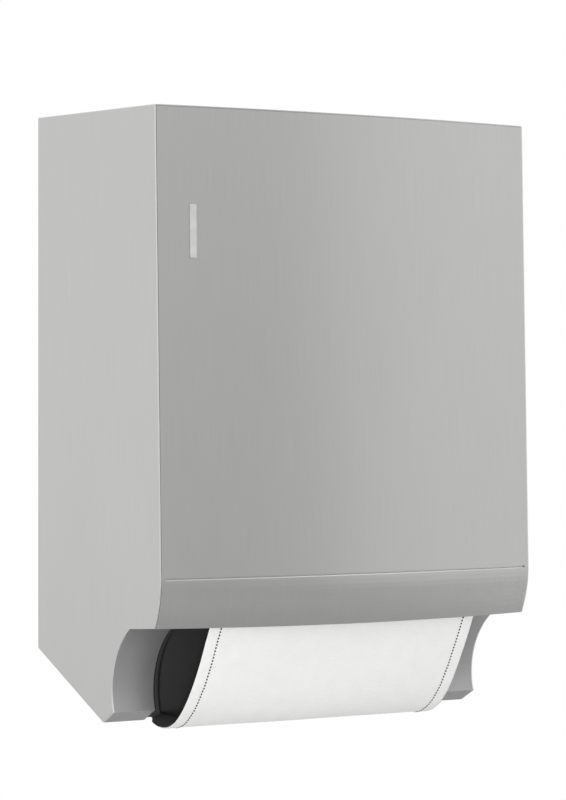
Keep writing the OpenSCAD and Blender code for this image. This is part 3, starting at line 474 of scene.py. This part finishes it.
def towel_path():
    """Points along the cloth's middle, from the clean roll to the used one."""
    clean_mid = CLEAN_R + CLOTH_OFF
    press_mid = -(PRESS_R + CLOTH_OFF)
    exit_mid = EXIT_R + CLOTH_OFF
    nose_mid = NOSE_R + CLOTH_OFF
    used_mid = USED_R + CLOTH_OFF
    feed = run_deg(CLEAN, clean_mid, PRESS, press_mid)
    out = run_deg(PRESS, press_mid, EXIT_BAR, exit_mid)
    back = run_deg(TRAY_NOSE, nose_mid, TAKEUP, used_mid)
    points = wrap(CLEAN, clean_mid, feed - LAP_DEG, feed)
    points += wrap(PRESS, press_mid, feed, out)
    points += wrap(EXIT_BAR, exit_mid, out, LOOP_FROM_DEG)
    start = points[-1]
    nose = wrap(TRAY_NOSE, nose_mid, LOOP_TO_DEG, back)
    loop = bezier(
        start,
        ahead(start, LOOP_FROM_DEG, LOOP_FROM_PULL),
        ahead(nose[0], LOOP_TO_DEG, -LOOP_TO_PULL),
        nose[0],
        LOOP_STEPS,
    )
    points += loop[1:]
    points += nose[1:]
    points += wrap(TAKEUP, used_mid, back, back + LAP_DEG)
    return points


def resample(points, step):
    """The same line with points evenly spaced, and the distance of each along it."""
    lengths = [0.0]
    for a, b in zip(points, points[1:]):
        lengths.append(lengths[-1] + math.dist(a, b))
    count = round(lengths[-1] / step)
    made, at, k = [], [], 0
    for i in range(count + 1):
        goal = lengths[-1] * i / count
        while k < len(points) - 2 and lengths[k + 1] < goal:
            k += 1
        span = lengths[k + 1] - lengths[k]
        t = (goal - lengths[k]) / span if span > 0 else 0
        a, b = points[k], points[k + 1]
        made.append((a[0] + (b[0] - a[0]) * t, a[1] + (b[1] - a[1]) * t))
        at.append(goal)
    return made, at


def normals_of(points):
    """Unit vectors to the right of the line: the face of the cloth that looks out of the recess."""
    made = []
    last = len(points) - 1
    for i in range(len(points)):
        a = points[max(i - 1, 0)]
        b = points[min(i + 1, last)]
        deg = math.degrees(math.atan2(b[1] - a[1], b[0] - a[0]))
        made.append(right_of(deg))
    return made


def smooth_step(low, high, value):
    t = min(1, max(0, (value - low) / (high - low)))
    return t * t * (3 - 2 * t)


path, path_at = resample(towel_path(), PATH_STEP)
path_right = normals_of(path)
path_len = path_at[-1]


def nearest(place):
    """Index of the path's point nearest to a place."""
    return min(range(len(path)), key=lambda i: math.dist(path[i], place))


# Where the loop starts and ends along the path
loop_start = path_at[nearest((EXIT_BAR[0], EXIT_BAR[1] - EXIT_R))]
loop_end = path_at[nearest((TRAY_NOSE[0], TRAY_NOSE[1] - NOSE_R))]

# Columns of the towel's mesh: close together over the hems, even between them
HALF = TOWEL_W / 2
HEM_COLUMNS = (0, 0.5, 1.4, 3, 5, 7.5, 9.4, 10.4, 11.0, 11.8, 12.6, 14, 17, 22)
MIDDLE_COUNT = 34
inner = [HALF - v * MM for v in HEM_COLUMNS]
middle = [inner[-1] * (1 - 2 * i / MIDDLE_COUNT) for i in range(1, MIDDLE_COUNT)]
columns = [-x for x in inner] + [-x for x in middle] + list(reversed(inner))


def loose(at):
    """How freely the cloth moves here: 1 in the middle of the loop, 0 on the bars."""
    return smooth_step(loop_start, loop_start + LOOSE_RUN, at) * (
        1 - smooth_step(loop_end - LOOSE_RUN, loop_end, at)
    )


def hem_rise(x):
    """The folded hem is thicker, and dimples at the stitch line."""
    inside = HALF - abs(x)
    fold = smooth_step(0, HEM_EDGE, inside) * (1 - smooth_step(HEM_W, HEM_W + HEM_END, inside))
    dimple = math.exp(-(((inside - STITCH_IN) / DIMPLE_W) ** 2))
    return HEM_RISE * fold - DIMPLE * dimple


def slack(x, at):
    """Soft unevenness of hanging cloth."""
    wave = 0.5 * math.sin(31 * x + 40 * at + 0.7) + 0.3 * math.sin(-57 * x + 83 * at + 2.1)
    cockle = 0.35 * math.sin(2 * math.pi * at / COCKLE_LEN + 9 * x)
    near_hem = math.exp(-(((HALF - abs(x) - STITCH_IN) / COCKLE_W) ** 2))
    return (WAVE_RISE * wave + COCKLE_RISE * cockle * near_hem) * MM * loose(at)


def cloth_point(x, i):
    """A place on the towel: x across it and index i along it."""
    y, z = path[i]
    r = path_right[i]
    off = slack(x, path_at[i]) + hem_rise(x)
    return (x, y + r[0] * off, z + r[1] * off)


def cloth_sheet(name, places, across, along):
    """Cloth through rows of places, with its flat coordinates in metres as UV."""
    mesh = bmesh.new()
    uv_layer = mesh.loops.layers.uv.new("cloth")
    rows = [[mesh.verts.new(place) for place in row] for row in places]
    for i in range(len(rows) - 1):
        for k in range(len(across) - 1):
            face = mesh.faces.new((rows[i][k], rows[i][k + 1], rows[i + 1][k + 1], rows[i + 1][k]))
            face.smooth = True
            corners = ((k, i), (k + 1, i), (k + 1, i + 1), (k, i + 1))
            for loop, (a, b) in zip(face.loops, corners):
                loop[uv_layer].uv = (across[a], along[b])
    obj = finish_mesh(name, mesh, slot_materials["cotton"])
    thick = obj.modifiers.new("thickness", "SOLIDIFY")
    thick.thickness = CLOTH_T
    thick.offset = 0
    return obj


def make_towel():
    places = [[cloth_point(x, i) for x in columns] for i in range(len(path))]
    return cloth_sheet("towel_web", places, columns, path_at)


def add_stitch(mesh, a, b, up):
    """One thread stitch from a to b: a flattened five-sided spindle."""
    a, b, up = Vector(a), Vector(b), Vector(up)
    along = (b - a).normalized()
    side = along.cross(up).normalized()
    rings = []
    for share, size in STITCH_RINGS:
        centre = a.lerp(b, share) + up * (STITCH_R * STITCH_ARCH * math.sin(math.pi * share))
        ring = []
        for k in range(STITCH_SIDES):
            turn = 2 * math.pi * k / STITCH_SIDES
            out = side * math.cos(turn) + up * (STITCH_FLAT * math.sin(turn))
            ring.append(mesh.verts.new(centre + out * (STITCH_R * size)))
        rings.append(ring)
    tips = (mesh.verts.new(a), mesh.verts.new(b))
    for low, high in zip(rings, rings[1:]):
        for k in range(STITCH_SIDES):
            n = (k + 1) % STITCH_SIDES
            mesh.faces.new((low[k], low[n], high[n], high[k])).smooth = True
    for k in range(STITCH_SIDES):
        n = (k + 1) % STITCH_SIDES
        mesh.faces.new((tips[0], rings[0][n], rings[0][k])).smooth = True
        mesh.faces.new((tips[1], rings[-1][k], rings[-1][n])).smooth = True


def make_stitches():
    """Rows of stitches along both hems, on both faces of the cloth."""
    mesh = bmesh.new()
    count = int(path_len / STITCH_PITCH)
    step = path_len / (len(path) - 1)
    for side in (-1, 1):
        x = side * (HALF - STITCH_IN)
        for n in range(count):
            for face in (1, -1):
                start = (n + (0.5 if face < 0 else 0)) * STITCH_PITCH
                ends = []
                for at in (start, start + STITCH_LEN):
                    f = min(len(path) - 1.001, at / step)
                    i = int(f)
                    low, high = Vector(cloth_point(x, i)), Vector(cloth_point(x, i + 1))
                    ends.append(low.lerp(high, f - i))
                    r = path_right[i]
                up = Vector((0, r[0], r[1])) * face
                lift = up * (CLOTH_T / 2)
                add_stitch(mesh, ends[0] + lift, ends[1] + lift, up)
    return finish_mesh("towel_stitches", mesh, thread)


ROLL_PITCH = 1.15 * MM
ROLL_STEPS = 60
ROLL_HEM = 6 * MM
ROLL_SLIP = 0.35


def make_roll(name, centre, inner_r, outer_r, turn_deg, seed):
    """Cloth wound in a spiral, from its core to its outer layer. Returns it and its wound length."""
    rng = random.Random(seed)
    turns = (outer_r - inner_r - ROLL_PITCH / 2) / ROLL_PITCH
    across = [-HALF, -HALF + ROLL_HEM, 0, HALF - ROLL_HEM, HALF]
    shift = [rng.uniform(-ROLL_SLIP, ROLL_SLIP) * MM for _ in range(int(turns) + 2)]
    places, length, last = [], [], None
    for i in range(int(turns * ROLL_STEPS) + 1):
        turn = i / ROLL_STEPS
        radius = inner_r + ROLL_PITCH * (0.5 + turn)
        place = ahead(centre, turn_deg - 360 * (turns - turn), radius)
        length.append(0 if last is None else length[-1] + math.dist(place, last))
        last = place
        low = int(turn)
        slip = shift[low] + (shift[low + 1] - shift[low]) * (turn - low)
        places.append([(x + slip, place[0], place[1]) for x in across])
    return cloth_sheet(name, places, across, length), length[-1]


towel = make_towel()
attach(towel, "chassis")
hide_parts("towel_feed", "towel_loop", "towel_return")
stitches = make_stitches()
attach(stitches, "chassis")

# The clean roll ends below the cloth that leaves it, with room for the stitches
STITCH_ROOM = 0.9 * MM
clean_r = CLEAN_R - STITCH_ROOM
clean_roll, clean_len = make_roll("clean_towel_roll", CLEAN, CORE_R, clean_r, turn_deg=130, seed=3)
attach(clean_roll, "clean")
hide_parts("clean_roll")

used_roll, used_len = make_roll("used_towel_roll", TAKEUP, SPINDLE_R, USED_R, turn_deg=40, seed=8)
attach(used_roll, "takeup")
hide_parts("soiled_roll")


# Ends of the tray's rolled edge: thin rounded cheeks beside the towel, which fill the fold of its
# loop; their black is darker than the tray's own, as painted shade in that fold

# Room beside and inside the cloth, the share of its path that they follow, and the rest of the section
END_CLEAR = 0.7 * MM
END_INSET = 0.6 * MM
END_BEFORE = 36 * MM
END_AFTER = 6 * MM
END_BACK = (-105.5 * MM, -265 * MM)
END_FRONT = (-121 * MM, -265.8 * MM)
END_MID = (-122 * MM, -270 * MM)
# Each ring of the section: its distance outwards in mm, and its size
END_ROUND = ((0, 1), (0.9, 1), (1.6, 0.97), (2.1, 0.92), (2.4, 0.86))


def make_edge_end(name, side):
    """One end of the rolled edge: a section inside the cloth's path, with a rounded outer rim."""
    section = []
    for (y, z), right, at in zip(path, path_right, path_at):
        if loop_end - END_BEFORE <= at <= loop_end + END_AFTER:
            section.append((y - right[0] * END_INSET, z - right[1] * END_INSET))
    section += [END_BACK, END_FRONT]
    mesh = bmesh.new()
    rings = []
    for out, size in END_ROUND:
        x = side * (HALF + END_CLEAR + out * MM)
        ring = []
        for y, z in section:
            place = (x, END_MID[0] + (y - END_MID[0]) * size, END_MID[1] + (z - END_MID[1]) * size)
            ring.append(mesh.verts.new(place))
        rings.append(ring)
    for a, b in zip(rings, rings[1:]):
        for k in range(len(section)):
            n = (k + 1) % len(section)
            mesh.faces.new((a[k], a[n], b[n], b[k])).smooth = True
    mesh.faces.new(rings[0])
    mesh.faces.new(rings[-1])
    bmesh.ops.recalc_face_normals(mesh, faces=mesh.faces)
    return finish_mesh(name, mesh, edge_black_painted_shade)


for name, side in (("tray_edge_end_left", -1), ("tray_edge_end_right", 1)):
    edge_end = make_edge_end(name, side)
    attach(edge_end, "chassis")


# Stage: a pale floor below the wall-mounted part

FLOOR_Z = -1.5
FLOOR_R = 7.0
WASH_Z = 2.6
FLOOR_GREY = 0.385
floor_mat, _, floor_shader, _ = new_material("floor_pale")
floor_shader.inputs["Roughness"].default_value = 0.3
floor_shader.inputs["Base Color"].default_value = (FLOOR_GREY, FLOOR_GREY, FLOOR_GREY, 1)
floor_make = bmesh.new()
bmesh.ops.create_circle(floor_make, cap_ends=True, segments=96, radius=FLOOR_R)
floor = finish_mesh("floor", floor_make, floor_mat)
floor.location = (0, 0, FLOOR_Z)

# World: a white studio, dimmer in front and to the left of the part, and near the floor

world = bpy.data.worlds.new("studio")
scene.world = world
world.use_nodes = True
tree = world.node_tree
background = tree.nodes["Background"]
coord = tree.nodes.new("ShaderNodeTexCoord")


def ramp(direction, low, high):
    """0 to 1 as the direction's share of a given direction rises from low to high."""
    dot = tree.nodes.new("ShaderNodeVectorMath")
    dot.operation = "DOT_PRODUCT"
    dot.inputs[1].default_value = Vector(direction).normalized()
    tree.links.new(coord.outputs["Generated"], dot.inputs[0])
    rise = tree.nodes.new("ShaderNodeMapRange")
    rise.interpolation_type = "SMOOTHSTEP"
    rise.inputs["From Min"].default_value = low
    rise.inputs["From Max"].default_value = high
    tree.links.new(dot.outputs["Value"], rise.inputs["Value"])
    return rise.outputs["Result"]


def maths(operation, first, second, third=0.0):
    """A Math node on numbers or other nodes' outputs."""
    node = tree.nodes.new("ShaderNodeMath")
    node.operation = operation
    for socket, value in zip(node.inputs, (first, second, third)):
        if isinstance(value, float):
            socket.default_value = value
        else:
            tree.links.new(value, socket)
    return node.outputs[0]


STUDIO = 1.0
FRONT_DIM = 0.262
LEFT_LIFT = 0.13
LOW_DIM = 0.1
LOW_LEFT_DIM = 0.11
EDGE_TURN = math.radians(36)
LIFT_TURN = math.radians(19)
LEFT = (-math.cos(EDGE_TURN), -math.sin(EDGE_TURN), 0)
FAR_LEFT = (-math.cos(LIFT_TURN), -math.sin(LIFT_TURN), 0)
FRONT_LEFT = (-0.5, -0.87, 0)
FRONT = (0.25, -0.97, 0)
DOWN = (0, 0, -1)
front_left = maths("MULTIPLY", ramp(LEFT, -0.06, 0.06), ramp(FRONT_LEFT, -0.25, 0.25))
far_left = ramp(FAR_LEFT, -0.14, 0.1)
low = maths("MULTIPLY", ramp(DOWN, -0.12, 0.02), ramp(FRONT, -0.2, 0.3))
dim = maths("MULTIPLY", front_left, maths("MULTIPLY_ADD", far_left, -LEFT_LIFT, FRONT_DIM))
low_dim = maths("MULTIPLY", low, maths("MULTIPLY_ADD", front_left, LOW_LEFT_DIM, LOW_DIM))
level = maths("SUBTRACT", STUDIO, maths("ADD", dim, low_dim))
tree.links.new(level, background.inputs["Strength"])
background.inputs["Color"].default_value = (1, 1, 1, 1)


def area_light(name, place, target, size, power, spread_deg=180):
    """A round lamp that looks at a target."""
    data = bpy.data.lights.new(name, "AREA")
    data.shape = "DISK"
    data.size = size
    data.energy = power
    data.spread = math.radians(spread_deg)
    obj = bpy.data.objects.new(name, data)
    scene.collection.objects.link(obj)
    obj.location = place
    obj.rotation_euler = (Vector(target) - Vector(place)).to_track_quat("-Z", "Y").to_euler()
    return obj


# The first lights the towel, three keep the floor pale, and two lift the ledge and the top
towel_fill = area_light("towel_fill", (-2.2, -2.5, -0.5), (0, -0.15, -0.24), size=1.0, power=60)
towel_fill.visible_glossy = False
for name, x, y, size, power, spread_deg in (
    ("floor_wash_right", 3.6, -1.7, 1.2, 24, 70),
    ("floor_wash_back", 1.2, 3.2, 1.6, 60, 100),
    ("floor_wash_left", 0.0, -3.9, 1.2, 22, 70),
):
    area_light(name, (x, y, WASH_Z), (x, y, FLOOR_Z), size, power, spread_deg)
area_light("ledge_key", (1.3, -0.3, 1.6), (0, -0.2, -0.15), size=1.2, power=5.5)
area_light("top_key", (-0.7, -1.0, 1.7), (0, -0.1, 0), size=1.0, power=7)

# Camera at the photograph's place: level with the frame's origin, in front and to the left

CAMERA_PLACE = (-1.979, -2.657, 0.0)
CAMERA_TURN_DEG = -37.7
CAMERA_LENS = 165.58
camera_data = bpy.data.cameras.new("camera")
camera_data.sensor_fit = "AUTO"
camera_data.sensor_width = 36
camera_data.lens = CAMERA_LENS
camera = bpy.data.objects.new("camera", camera_data)
scene.collection.objects.link(camera)
camera.location = CAMERA_PLACE
camera.rotation_euler = (math.radians(90), 0, math.radians(CAMERA_TURN_DEG))
scene.camera = camera

bpy.context.view_layer.update()
